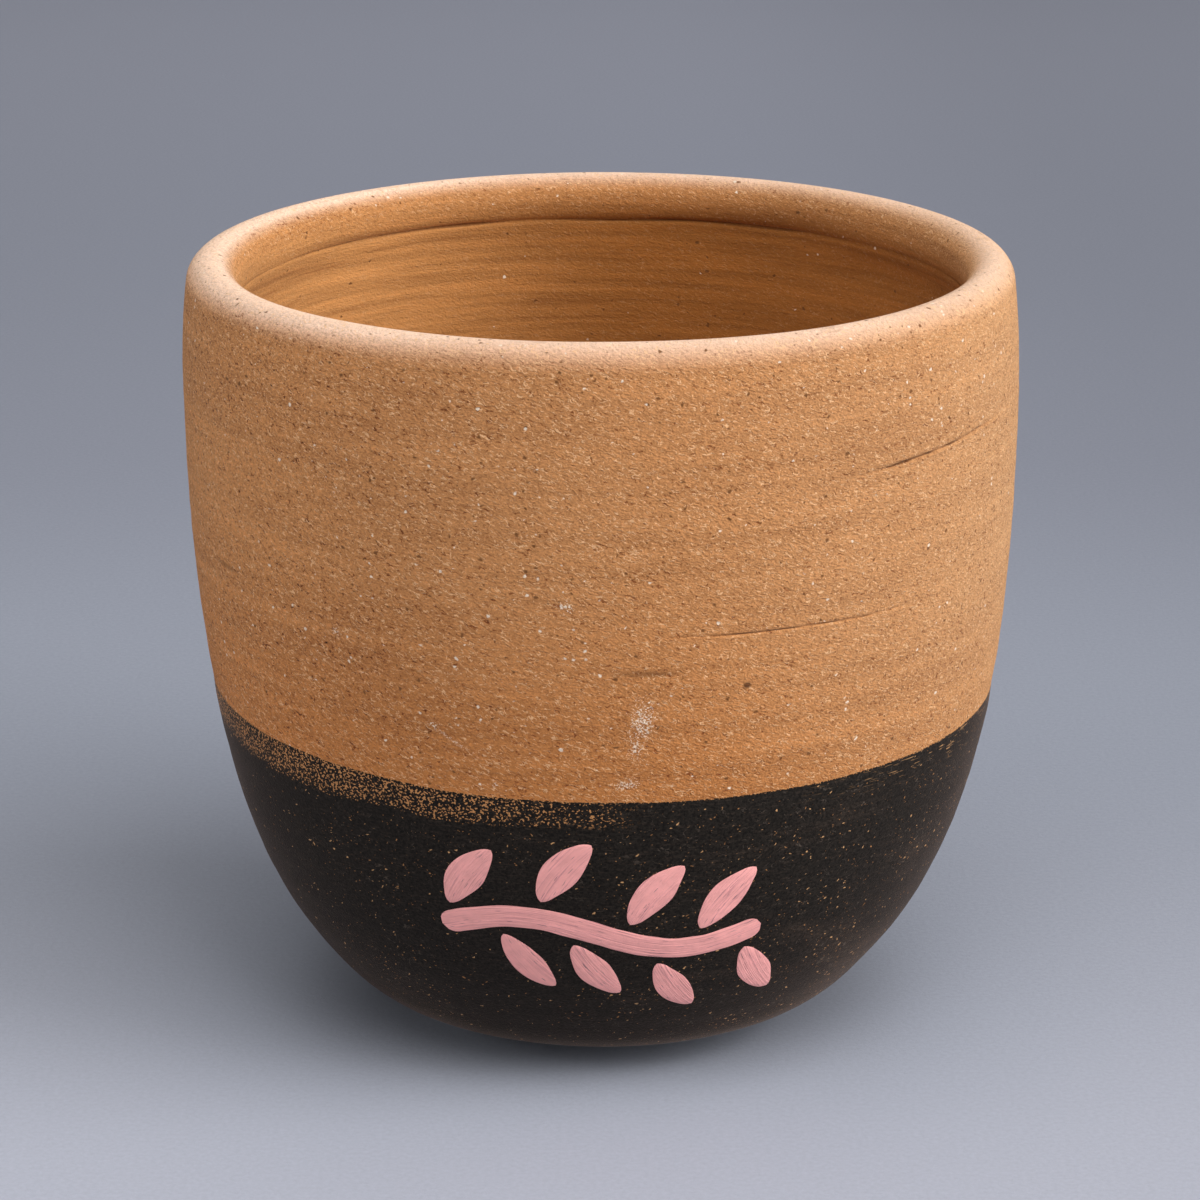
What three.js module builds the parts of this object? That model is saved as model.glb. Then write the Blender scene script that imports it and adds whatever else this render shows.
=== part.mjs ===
// A hand-thrown, unglazed clay cup without a handle. Its lower wall has a coat of black paint, and a pink
// running vine is brushed on the front of the black. Millimetres, +Z up. The foot stands on z = 0, the
// cup's axis is Z, and the vine faces -Y.

import * as THREE from 'three';

// Outside of the cup
const HEIGHT = 85.2;
const BELLY_RADIUS = 45; // the widest place
const BELLY_DROP = 12.8; // from the top of the rim down to the widest place
const FOOT_RADIUS = 14; // the flat that the cup stands on
const FOOT_FLARE = 15.8; // degrees above the table at which the bowl leaves the foot
const TURN_INSET = 12; // how far the bowl's turn lies inside the widest place
const TURN_HEIGHT = 11.5; // where the bowl turns up into the wall
const TURN_LEAN = 36.5; // degrees that the wall leans outwards there

// Wall, floor and rolled rim
const WALL = 4.8;
const FLOOR = 6.5;
const FLOOR_RADIUS = 12; // flat middle of the inner floor
const FLOOR_FLARE = 6; // degrees above the table at which the inside leaves its flat middle
const RIM_THICKNESS = 5.6; // diameter of the roll
const RIM_INSET = 0.55; // how far the roll's outer edge lies inside the widest place
const RIM_TUCK = 50; // degrees that the roll turns under itself on the inside

// Paint
const PAINT_GAP = 0.05; // clearance under each layer of paint
const COAT_THICKNESS = 0.15;
const COAT_START = 1.2; // bare clay along the wall between the foot's edge and the black
const PAINT_LINE = 37.4; // height of the black's upper edge

// Vine, laid out in distances along the wall from the middle of its stem
const VINE_HEIGHT = 21.5; // height of the stem's middle on the wall
const VINE_LENGTH = 34;
const VINE_WAVE = 2.1; // how far the stem swings up and down
const VINE_SWINGS = 1; // whole waves along the stem
const STROKE_THICKNESS = 0.25;
const STEM_WIDTH = 2.8;
const STEM_END = 1.1; // width at the tips of the stem
const LEAF_LENGTH = 9;
const LEAF_WIDTH = 3.7;
const LEAF_TIP = 0.9; // width at the two ends of a leaf
const LEAF_GAP = 0.5; // clearance between a leaf and the stem
const LEAF_CLEARANCE = 0.2; // clearance between leaves on one side of the stem
const LEAF_ANGLE = 66; // degrees between a leaf's root and the way that the vine runs
const LEAF_CURL = 22; // degrees that a leaf turns back towards the stem along its length

// Fineness of the curved surfaces
const ROUND_SEGMENTS = 64;
const COAT_STEPS = 14;
const WALL_STEPS = 10;
const RIM_STEPS = 10;
const INSIDE_STEPS = 16;
const STEM_STEPS = 44;
const LEAF_STEPS = 12;

// How far each curve's handles reach, as shares of the straight line between its ends
const BOWL_FULLNESS = [0.58, 0.43];
const WALL_FULLNESS = [0.28, 0.28];

const bellyHeight = HEIGHT - BELLY_DROP;
const rollRadius = RIM_THICKNESS / 2;
const rollCentre = new THREE.Vector2(BELLY_RADIUS - RIM_INSET - rollRadius, HEIGHT - rollRadius);

const clay = new THREE.MeshStandardMaterial({ color: 0xb58251, roughness: 0.9, metalness: 0 });
const blackPaint = new THREE.MeshStandardMaterial({ color: 0x201d1c, roughness: 0.7, metalness: 0 });
const pinkPaint = new THREE.MeshStandardMaterial({ color: 0xdf8d88, roughness: 0.6, metalness: 0 });

function radians(degrees) {
  return THREE.MathUtils.degToRad(degrees);
}

// A point at a distance from another, at an angle above the horizontal.
function reach(from, distance, degrees) {
  const angle = radians(degrees);
  return new THREE.Vector2(from.x + distance * Math.cos(angle), from.y + distance * Math.sin(angle));
}

// A curve that leaves one point and arrives at another in the given directions.
function sweep(start, startDegrees, end, endDegrees, fullness) {
  const span = start.distanceTo(end);
  const startHandle = reach(start, span * fullness[0], startDegrees);
  const endHandle = reach(end, -span * fullness[1], endDegrees);
  return new THREE.CubicBezierCurve(start, startHandle, endHandle, end);
}

// Half a section of the cup's side, from the edge of its flat bottom up to the rim: x is the radius and
// y the height.
function sidePath(bottom, flare, turn, belly, top) {
  const path = new THREE.CurvePath();
  path.add(sweep(bottom, flare, turn, 90 - TURN_LEAN, BOWL_FULLNESS));
  path.add(sweep(turn, 90 - TURN_LEAN, belly, 90, WALL_FULLNESS));
  path.add(new THREE.QuadraticBezierCurve(belly, new THREE.Vector2(belly.x, (belly.y + top.y) / 2), top));
  return path;
}

const turn = new THREE.Vector2(BELLY_RADIUS - TURN_INSET, TURN_HEIGHT);
const rimLean = 2 * Math.atan2(RIM_INSET, rollCentre.y - bellyHeight);
const rim = new THREE.ArcCurve(rollCentre.x, rollCentre.y, rollRadius, rimLean, Math.PI + radians(RIM_TUCK));

const outside = sidePath(
  new THREE.Vector2(FOOT_RADIUS, 0),
  FOOT_FLARE,
  turn,
  new THREE.Vector2(BELLY_RADIUS, bellyHeight),
  rim.getPoint(0),
);
const inside = sidePath(
  new THREE.Vector2(FLOOR_RADIUS, FLOOR),
  FLOOR_FLARE,
  reach(turn, -WALL, -TURN_LEAN),
  new THREE.Vector2(BELLY_RADIUS - WALL, bellyHeight),
  rim.getPoint(1),
);

// The point at a distance along the outside, lifted off the wall by a height.
function onOutside(distance, lift) {
  const share = distance / outside.getLength();
  const tangent = outside.getTangent(share);
  const outwards = new THREE.Vector2(tangent.y, -tangent.x);
  return outside.getPoint(share).addScaledVector(outwards, lift);
}

// The distance along the outside at which it reaches a height.
function distanceAtHeight(height) {
  let low = 0;
  let high = outside.getLength();
  for (let halving = 0; halving < 40; halving += 1) {
    const middle = (low + high) / 2;
    if (onOutside(middle, 0).y < height) {
      low = middle;
    } else {
      high = middle;
    }
  }
  return (low + high) / 2;
}

function evenSteps(from, to, count) {
  return Array.from({ length: count + 1 }, (_, step) => THREE.MathUtils.lerp(from, to, step / count));
}

// The paint lies on the same stations as the clay under it, so that the clearance is even all over.
const coatTop = distanceAtHeight(PAINT_LINE);
const coatStations = evenSteps(COAT_START, coatTop, COAT_STEPS);
const wallStations = evenSteps(coatTop, outside.getLength(), WALL_STEPS).slice(1);

// A closed solid turned about the Z axis.
function turned(name, profile, material) {
  const geometry = new THREE.LatheGeometry(profile, ROUND_SEGMENTS);
  geometry.rotateX(Math.PI / 2);
  return namedMesh(name, geometry, material);
}

function namedMesh(name, geometry, material) {
  const mesh = new THREE.Mesh(geometry, material);
  mesh.name = name;
  return mesh;
}

function makeClayBody() {
  const outer = [0, ...coatStations, ...wallStations].map((distance) => onOutside(distance, 0));
  const roll = rim.getPoints(RIM_STEPS).slice(1, -1);
  const inner = inside.getSpacedPoints(INSIDE_STEPS).reverse();
  const underside = new THREE.Vector2(0, 0);
  const floorCentre = new THREE.Vector2(0, FLOOR);
  return turned('clay_body', [underside, ...outer, ...roll, ...inner, floorCentre], clay);
}

function makeBlackCoat() {
  const outer = coatStations.map((distance) => onOutside(distance, PAINT_GAP + COAT_THICKNESS));
  const inner = coatStations.map((distance) => onOutside(distance, PAINT_GAP)).reverse();
  return turned('black_coat', [...outer, ...inner, outer[0].clone()], blackPaint);
}

// A point on the front of the coat: across and up are distances from the middle of the vine.
const vineDistance = distanceAtHeight(VINE_HEIGHT);
const vineRadius = onOutside(vineDistance, 0).x;

function onFront(across, up, lift) {
  const section = onOutside(vineDistance + up, PAINT_GAP + COAT_THICKNESS + lift);
  const angle = across / vineRadius;
  return new THREE.Vector3(section.x * Math.sin(angle), -section.x * Math.cos(angle), section.y);
}

// A flat brush stroke along a path on the front, bent onto the coat.
function stroke(name, path, steps, widthAt) {
  const geometry = new THREE.BoxGeometry(1, 1, 1, steps, 2, 1);
  const position = geometry.attributes.position;
  for (let index = 0; index < position.count; index += 1) {
    const along = position.getX(index) + 0.5;
    const aside = position.getY(index) * widthAt(along);
    const lift = PAINT_GAP + (position.getZ(index) + 0.5) * STROKE_THICKNESS;
    const centre = path.getPoint(along);
    const tangent = path.getTangent(along);
    const point = onFront(centre.x - aside * tangent.y, centre.y + aside * tangent.x, lift);
    position.setXYZ(index, point.x, point.y, point.z);
  }
  geometry.computeVertexNormals();
  return namedMesh(name, geometry, pinkPaint);
}

// Swings up and down about the vine's middle.
class StemPath extends THREE.Curve {
  getPoint(share) {
    const swing = Math.sin(2 * Math.PI * VINE_SWINGS * share);
    return new THREE.Vector2((share - 0.5) * VINE_LENGTH, VINE_WAVE * swing);
  }
}

const stemPath = new StemPath();

// As many leaves as the stem has room for. Two on the same side keep a leaf's width and half its length
// apart, because they lean and start at different heights of the stem.
const leafSpacing = LEAF_WIDTH + LEAF_LENGTH / 2 + LEAF_CLEARANCE;
const leafCount = Math.floor((2 * VINE_LENGTH) / leafSpacing);

// Round tips: the width grows from the tip as a quarter circle does.
function stemWidth(share) {
  const fromTip = Math.min(share, 1 - share) * VINE_LENGTH;
  const grown = Math.min(1, fromTip / (STEM_WIDTH / 2));
  return THREE.MathUtils.lerp(STEM_END, STEM_WIDTH, Math.sqrt(1 - (1 - grown) ** 2));
}

function leafWidth(share) {
  return THREE.MathUtils.lerp(LEAF_TIP, LEAF_WIDTH, Math.sin(Math.PI * share));
}

// Leaves grow from the two sides of the stem by turns, and lean the way that the vine runs.
function leafPath(index) {
  const share = (index + 0.5) / leafCount;
  const side = index % 2 === 0 ? 1 : -1;
  const tangent = stemPath.getTangent(share);
  const outwards = new THREE.Vector2(-tangent.y, tangent.x).multiplyScalar(side);
  const clear = STEM_WIDTH / 2 + LEAF_GAP + LEAF_TIP / 2;
  const root = stemPath.getPoint(share).addScaledVector(outwards, clear);
  const middle = reach(root, LEAF_LENGTH / 2, side * LEAF_ANGLE);
  const tip = reach(middle, LEAF_LENGTH / 2, side * (LEAF_ANGLE - LEAF_CURL));
  return new THREE.QuadraticBezierCurve(root, middle, tip);
}

const cup = new THREE.Group();
cup.add(makeClayBody());
cup.add(makeBlackCoat());
cup.add(stroke('vine_stem', stemPath, STEM_STEPS, stemWidth));
for (let index = 0; index < leafCount; index += 1) {
  cup.add(stroke(`leaf_${index + 1}`, leafPath(index), LEAF_STEPS, leafWidth));
}

export default cup;
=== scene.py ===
"""Models the looks of a hand-thrown clay cup: bare sandy clay, a black bowl and a brushed pink vine.

The file is laid out as an add-on and is run as a script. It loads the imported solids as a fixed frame,
models the clay, the paint and the stage round them, and gives every piece to its body.
"""

import math
from collections import namedtuple
from contextlib import contextmanager

import bpy
import numpy as np
from bpy.props import FloatProperty, FloatVectorProperty, PointerProperty
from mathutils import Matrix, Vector, noise
from mathutils.geometry import interpolate_bezier


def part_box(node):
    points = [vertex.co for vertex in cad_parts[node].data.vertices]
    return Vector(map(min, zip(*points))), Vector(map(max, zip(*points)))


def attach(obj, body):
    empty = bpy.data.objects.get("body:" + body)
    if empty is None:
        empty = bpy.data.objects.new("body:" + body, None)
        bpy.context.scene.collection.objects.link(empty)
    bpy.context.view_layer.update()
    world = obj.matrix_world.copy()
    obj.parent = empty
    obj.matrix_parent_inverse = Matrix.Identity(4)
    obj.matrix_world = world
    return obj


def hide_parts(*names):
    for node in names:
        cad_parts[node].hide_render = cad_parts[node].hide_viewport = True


bl_info = {
    "name": "Clay Cup",
    "version": (1, 0, 0),
    "blender": (4, 5, 0),
    "location": "View3D > Sidebar > Clay Cup",
    "description": "Models a hand-thrown clay cup with a painted bowl, and the stage it stands on",
    "category": "Add Mesh",
}

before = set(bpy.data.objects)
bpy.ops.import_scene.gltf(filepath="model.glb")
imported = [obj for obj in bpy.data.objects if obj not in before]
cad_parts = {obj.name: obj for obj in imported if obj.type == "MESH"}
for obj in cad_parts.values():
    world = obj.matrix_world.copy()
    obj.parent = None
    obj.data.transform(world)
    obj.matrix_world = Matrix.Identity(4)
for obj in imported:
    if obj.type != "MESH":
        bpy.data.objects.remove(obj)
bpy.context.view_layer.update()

MM = 0.001
BODY = "root"
CLAY_NODE, COAT_NODE, STEM_NODE = "clay_body", "black_coat", "vine_stem"
LEAF_NODES = sorted(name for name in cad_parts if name.startswith("leaf_"))

clay_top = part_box(CLAY_NODE)[1]
coat_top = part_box(COAT_NODE)[1]

# Fineness of the meshes: columns round the cup, steps along each curve of its section, and the height of a
# row on each stretch of the section. Fine rows go down the inside as far as the tuck's reach. A stroke has
# steps along and across.
ROUND_STEPS = 240
SECTION_STEPS = 400
ROW_UNDERSIDE = 1.4 * MM
ROW_FOOT = 0.4 * MM
ROW_BOWL = 0.85 * MM
ROW_WALL = 0.46 * MM
ROW_MARK = 0.12 * MM
ROW_RIM = 0.34 * MM
ROW_INSIDE = 0.66 * MM
ROW_TUCK = 0.22 * MM
TUCK_REACH = 2.4 * MM
STEM_STEPS = (120, 18)
LEAF_STEPS = (44, 22)
MERGE_DISTANCE = 0.002 * MM
SMOOTH_ANGLE = math.radians(40)

# How far each curve's handles reach, as shares of the straight line between its ends
BOWL_FULLNESS = (0.58, 0.43)
WALL_FULLNESS = (0.28, 0.28)
ROUND_FULLNESS = (2 / 3, 2 / 3)

# Travel along the section from the rim's crest or its ends at which the tone of the inside, and the dust
# with a painted highlight on the crest, start, are full and end
INSIDE_START = 0.8 * MM
INSIDE_FULL = 0.5 * MM
DUST_START = 0.5 * MM
DUST_FULL = 0.2 * MM
DUST_END = 3.2 * MM

# How far from the paint line the rows of the mesh still bend with it, and the size of the line's wander on
# a circle of radius 1
LINE_REACH = 12 * MM
LINE_WANDER = 0.16

# Travel from the foot over which the unevenness comes in, and heights between which the bulge and the pinch
# on the right come and go
FOOT_CALM = (-1 * MM, 4 * MM)
BULGE_RISE = (6 * MM, 30 * MM)
BULGE_FALL = (34 * MM, 66 * MM)
PINCH_RISE = (64 * MM, 80 * MM)

# Noise that shapes the thrown wall: how far apart two seeds lie in it, the size of its features, and for
# rings layers of share, size and seed
SEED_STEP = 17.3
WOBBLE_SIZE = 26 * MM
OUTER_RINGS = ((1.0, (50 * MM, 50 * MM, 2.6 * MM), 2), (0.5, (25 * MM, 25 * MM, 1.1 * MM), 4))
INNER_RINGS = ((1.0, (25 * MM, 25 * MM, 2.1 * MM), 6), (0.6, (12.5 * MM, 12.5 * MM, 0.9 * MM), 7))

# The groove and the fillet under the roll: how the groove opens round the back, travel from the roll's end
# to their middles, their widths, how far the groove strays, and the sizes of its stray and ragged features
GROOVE_OPENS = (0.50, 0.86)
GROOVE_TURN = math.radians(6)
GROOVE_DROP = 0.35 * MM
GROOVE_STRAY = 0.30 * MM
GROOVE_WIDTH = 0.24 * MM
STRAY_SIZE = 12 * MM
GROOVE_RAGGED = 6 * MM
FILLET_DROP = 0.3 * MM
FILLET_WIDTH = 1.8 * MM

# Marks that throwing left in the outer wall. Starts and ends are degrees round from the front, to the
# right, and heights in millimetres. Widths, depths and raised lips are millimetres too.
Mark = namedtuple("Mark", "start end width depth lip")
MARKS = (
    Mark((31, 69.9), (77, 72.0), 0.17, 0.32, 0.07),
    Mark((4, 55.4), (58, 54.9), 0.12, 0.22, 0.04),
    Mark((1, 51.6), (11, 51.3), 0.45, 0.10, 0.04),
    Mark((-36, 67.2), (-28, 67.6), 0.25, 0.16, 0.05),
    Mark((-70, 60.4), (-52, 60.0), 0.30, 0.10, 0.03),
    Mark((112, 58.6), (150, 60.2), 0.28, 0.26, 0.08),
    Mark((-150, 71.0), (-118, 70.2), 0.22, 0.20, 0.06),
    Mark((170, 47.5), (192, 47.0), 0.40, 0.14, 0.05),
)

# A mark's shape: the shares of its run at which it is grown and starts to fade, how far it sways in
# millimetres, how many widths below it its lip lies, and the depth at which its painted shade is full. Its
# sway and ragged depth have features of the given degrees round and millimetres up.
MARK_GROWN = 0.3
MARK_FADES = 0.45
MARK_SWAY = 0.12
LIP_PLACE = 1.9
DARK_DEPTH = 0.25
SWAY_SIZE = (5, 6, 1)
RAGGED_SIZE = (1.6, 3, 1)

# Heights in millimetres between which the rows are fine enough for the long marks
MARK_BANDS = ((54.2, 55.8), (69.7, 72.0))

# Chalky smears, and dark patches painted on the clay: place as above, length and width in millimetres, tilt
# in degrees, strength
Smear = namedtuple("Smear", "place length width tilt strength")
SMEARS = (
    Smear((5.3, 46.3), 2.4, 4.4, 8, 0.95),
    Smear((4.6, 43.4), 1.2, 2.6, 8, 0.8),
    Smear((3.4, 39.4), 2.6, 1.1, -10, 0.8),
    Smear((-4.6, 58.6), 1.7, 1.1, 20, 1.0),
    Smear((-23.0, 44.9), 1.4, 0.8, 12, 1.0),
    Smear((-20.2, 43.3), 4.4, 0.5, 32, 0.55),
    Smear((-14.6, 38.8), 0.9, 0.7, 0, 0.9),
    Smear((-37.6, 53.2), 1.3, 0.9, 20, 0.7),
    Smear((128, 49.0), 4.6, 1.4, -15, 0.8),
    Smear((-142, 52.5), 2.2, 4.0, 12, 0.8),
)
# Painted shade: the first patch is the shade in a small pit, the second darkens the shallow dent at the
# third mark; the other two are further dark patches at the left and the back
DARK_PATCHES = (
    Smear((19.4, 49.6), 1.25, 0.95, 0, 1.0),
    Smear((5.8, 51.5), 9.0, 0.9, 1, 0.45),
    Smear((-62, 56.0), 7.0, 0.8, 3, 0.35),
    Smear((-156, 63.0), 0.8, 0.7, 0, 0.9),
)

# How the fired clay's tone is painted with light and shade towards the two sides: warmer towards the shaded
# left, and paler towards the lit right, where a painted sheen stands for the lamps' highlight there. The
# millimetres across between which each change comes in, and its factor on the tone
PAINTED_SIDE_LIGHT = (
    (-4, -40, (1.03, 1.00, 0.94)),
    (6, 30, (0.985, 1.035, 1.12)),
    (28, 43, (1.13, 1.21, 1.31)),
)

# How the clay's tone deepens in the shade between its grains
SHADE_CAST = (1.00, 0.55, 0.28)

# Millimetres across the cup, upwards or below the paint line between which a look of the clay or the black
# comes in. Among them are painted light and shade: the low wall's painted shade, which lies lower on the
# right, the grain's stronger painted shade on the shaded left, the painted highlight on the rim's crest,
# stronger on the left and weaker on the right, the inside's painted shade towards the back and the right,
# and the black's painted sheen towards the right.
LOW_WALL_SHADE = (34, 66)
LOW_RIGHT = (4, 34)
LOW_RIGHT_DROP = 10
SHADED_LEFT = (-6, -38)
RIM_LIGHT_LEFT = (-8, -34)
RIM_SHADE_RIGHT = (8, 34)
INSIDE_SHADE = (-34, 6)
WORN_LOW = (26, 4)
WEAR_AND_SHEEN_RIGHT = (-8, 34)
BAND_LEFT = (6, -24)
BAND_BELOW = (3.7, 2.3)
DASHES_RIGHT = (18, 38)
DASHES_BELOW = (4.0, 1.0)

# Shifts in millimetres that keep patterns of one kind from lying on each other
RUNS_SHIFT = (3.7, 8.9, 6.1)
SLITS_SHIFT = (9.3, 2.2, 4.8)
CRUMBS_SHIFT = (7.7, 3.1, 5.3)
CHALK_SHIFT = (4.1, 9.2, 2.6)
DUST_SHIFT = (3.3, 6.1, 1.7)

# A brush stroke's shape: the shares of its length over which its tips come to a point and its ends thin
# out, the power that rounds its section, how its edges stray and its hairs run, the gap between strokes on
# their map, and the share of a path over which its direction is taken
TIP_SHARE = 0.04
END_SHARE = 0.12
CROWN_POWER = 5
EDGE_STRAY = 0.11 * MM
EDGE_RUN = 2.2 * MM
HAIR_RUN = 7 * MM
HAIR_GAP = 0.34 * MM
MAP_GAP = 40 * MM
PATH_STEP = 0.001

# The floor, a round plain whose edge bends up, in metres, and millimetres back or across between which its
# tone changes: painted light and shade for how the lamps' light falls over it
FLOOR_RADIUS = 2.4
FLOOR_BEND = 0.6
FLOOR_SIDES = 96
BEND_STEPS = 8
BEND_SMOOTH = math.radians(30)
FLOOR_MIDDLE = (-70, 90)
FLOOR_BACK = (90, 240)
FLOOR_FAR = (330, 680)
FLOOR_RIGHT_SHADE = (10, 110)

# Soft square lamps, all at one distance: degrees round from the front, to the right, and above the table.
# Distances and sizes are metres, and the camera's sensor is in millimetres.
Lamp = namedtuple("Lamp", "name turn rise")
LAMPS = (
    Lamp("key", 70, 20),
    Lamp("high", 35, 55),
    Lamp("front", 0, 50),
    Lamp("fill", -70, 10),
    Lamp("back", 180, 40),
    Lamp("top", 0, 88),
)
LAMP_DISTANCE = 1.3
LAMP_SIZE = 0.9
SENSOR_WIDTH = 36


def length(name, description, default):
    """A length that a user may change."""
    return FloatProperty(name=name, description=description, default=default, unit="LENGTH", precision=5)


def slope(name, description, degrees):
    """An angle that a user may change."""
    return FloatProperty(name=name, description=description, default=math.radians(degrees), subtype="ANGLE")


def tint(name, description, default):
    """A colour that a user may change."""
    return FloatVectorProperty(
        name=name, description=description, default=default, subtype="COLOR", min=0, max=1
    )


def level(name, description, default):
    """A plain number that a user may change."""
    return FloatProperty(name=name, description=description, default=default, min=0)


class ClayCupSizes(bpy.types.PropertyGroup):
    """Sizes of the thrown clay."""

    height: length("Height", "From the table to the top of the rim", clay_top.z)
    belly_radius: length("Belly Radius", "Radius at the widest place", clay_top.x)
    belly_drop: length("Belly Drop", "From the top of the rim down to the widest place", 12.8 * MM)
    foot_radius: length("Foot Radius", "Radius of the flat that the cup stands on", 14 * MM)
    foot_flare: slope("Foot Flare", "Angle above the table at which the bowl leaves the foot", 15.8)
    turn_inset: length("Turn Inset", "How far the bowl's turn lies inside the widest place", 12 * MM)
    turn_height: length("Turn Height", "Height at which the bowl turns up into the wall", 11.5 * MM)
    turn_lean: slope("Turn Lean", "How far the wall leans outwards at the turn", 36.5)
    wall: length("Wall", "Thickness of the wall", 4.8 * MM)
    floor: length("Floor", "Thickness of the floor", 6.5 * MM)
    floor_radius: length("Floor Radius", "Radius of the flat middle of the inner floor", 12 * MM)
    floor_flare: slope("Floor Flare", "Angle at which the inside leaves its flat middle", 6)
    rim_thickness: length("Rim Thickness", "Diameter of the rolled rim", 5.6 * MM)
    rim_inset: length("Rim Inset", "How far the roll lies inside the widest place", 0.55 * MM)
    rim_tuck: slope("Rim Tuck", "How far the roll turns under itself on the inside", 50)
    rim_tilt: slope("Rim Tilt", "How far the rim rises to the right", 0.2)
    wobble: length("Wobble", "How far the hand-thrown wall strays from round", 0.09 * MM)
    bulge: length("Bulge", "How far the lower wall stands out on the right", 0.42 * MM)
    pinch: length("Pinch", "How far the rim is pressed in on the right", 0.18 * MM)
    outer_rings: length("Outer Rings", "Depth of the throwing rings outside", 0.05 * MM)
    inner_rings: length("Inner Rings", "Depth of the throwing rings inside", 0.10 * MM)
    settle: length("Settle", "How far the thrown surface keeps inside the plain section", 0.12 * MM)
    tuck_groove: length("Tuck Groove", "Depth of the ragged groove under the roll, inside", 0.30 * MM)
    tuck_fillet: length("Tuck Fillet", "How far clay fills the hollow under the roll, inside", 0.80 * MM)


class PaintSizes(bpy.types.PropertyGroup):
    """Sizes of the black coat and of the vine's brush strokes."""

    paint_line: length("Paint Line", "Height of the black coat's upper edge", coat_top.z)
    line_sway: length("Line Sway", "How far the paint line rises to the left", 0.5 * MM)
    line_rise: length("Line Rise", "How far the paint line rises to both sides", 1.2 * MM)
    coat_start: length("Coat Start", "Bare clay between the foot's edge and the black", 1.2 * MM)
    coat_lift: length("Coat Lift", "Height of the coat above the clay", 0.12 * MM)
    coat_edge: length("Coat Edge", "Height of the coat at its thin edges", 0.014 * MM)
    coat_taper: length("Coat Taper", "Width of the coat's thinning edge", 1.5 * MM)
    coat_skin: length("Coat Skin", "Thickness of the coat's shell", 0.01 * MM)
    vine_height: length("Vine Height", "Height of the stem's middle on the wall", 21.5 * MM)
    vine_length: length("Vine Length", "Length of the stem from tip to tip", 34 * MM)
    vine_wave: length("Vine Wave", "How far the stem swings up and down", 2.1 * MM)
    stem_width: length("Stem Width", "Width of the stem", 2.8 * MM)
    leaf_length: length("Leaf Length", "Length of a leaf", 9 * MM)
    leaf_width: length("Leaf Width", "Width of a leaf at its middle", 3.7 * MM)
    leaf_tip: length("Leaf Tip", "Width at the two ends of a leaf", 0.9 * MM)
    leaf_gap: length("Leaf Gap", "Gap between a leaf and the stem", 0.5 * MM)
    leaf_angle: slope("Leaf Angle", "Angle between a leaf's root and the way that the vine runs", 66)
    leaf_curl: slope("Leaf Curl", "How far a leaf turns back along its length", 22)
    stroke_lift: length("Stroke Lift", "Height of a stroke's middle above the coat", 0.11 * MM)
    stroke_edge: length("Stroke Edge", "Height of a stroke's edge above the coat", 0.035 * MM)
    stroke_ridge: length("Stroke Ridge", "Height of the ridges that the brush's hairs leave", 0.025 * MM)
    stroke_skin: length("Stroke Skin", "Thickness of a stroke's shell", 0.02 * MM)


class CupColours(bpy.types.PropertyGroup):
    """Colours of the clay and the paint."""

    clay: tint("Clay", "Main tone of the clay", (0.525, 0.238, 0.086))
    # Painted shade: the low wall is darker and deeper in colour than the wall under the rim, where more
    # light falls from above
    clay_low: tint("Low Clay", "Tone of the wall just above the paint", (0.510, 0.196, 0.054))
    # Pale clay paints the rim's dust together with a painted highlight on its crest
    clay_pale: tint("Pale Clay", "Dry, dusty clay on the rim and on raised grains", (0.840, 0.585, 0.430))
    clay_dark: tint("Dark Clay", "Clay in slits, scratches and darker streaks", (0.240, 0.088, 0.026))
    # Painted light and shade on the inside: lighter at the lit left, darker and deeper at the shaded back
    # and right
    clay_inside: tint("Inside Clay", "Tone of the inside at the left", (0.600, 0.280, 0.090))
    clay_deep: tint("Deep Clay", "Tone of the inside at the back and the right", (0.368, 0.138, 0.029))
    bared_clay: tint("Bared Clay", "Specks of clay where the black has chipped off", (0.620, 0.340, 0.150))
    clay_grain: tint("Clay Grain", "Grains of clay that show through the black", (0.490, 0.230, 0.088))
    # Fleck is the pale grains' own colour, and the painted highlight on the thin raised wisps
    fleck: tint("Fleck", "Pale grains and thin raised wisps", (0.800, 0.500, 0.270))
    pore: tint("Pore", "Shaded pores", (0.190, 0.072, 0.020))
    furrow: tint("Furrow", "Shaded grooves", (0.135, 0.046, 0.012))
    chalk: tint("Chalk", "White grains and smears", (0.840, 0.700, 0.560))
    black: tint("Black", "Black paint", (0.0122, 0.0098, 0.0078))
    # This brown is both paint rubbed thin and a painted sheen on the lit right
    worn_black: tint("Worn Black", "Black paint rubbed thin", (0.062, 0.041, 0.029))
    scratch: tint("Scratch", "Fine scratches in the black", (0.120, 0.092, 0.072))
    pink: tint("Pink", "Pink paint", (0.930, 0.400, 0.368))
    pink_shade: tint("Shaded Pink", "Thin pink between the brush's hairs", (0.520, 0.215, 0.225))
    pink_gap: tint("Pink Gap", "Gaps in the pink with the black showing through", (0.210, 0.115, 0.130))


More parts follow.
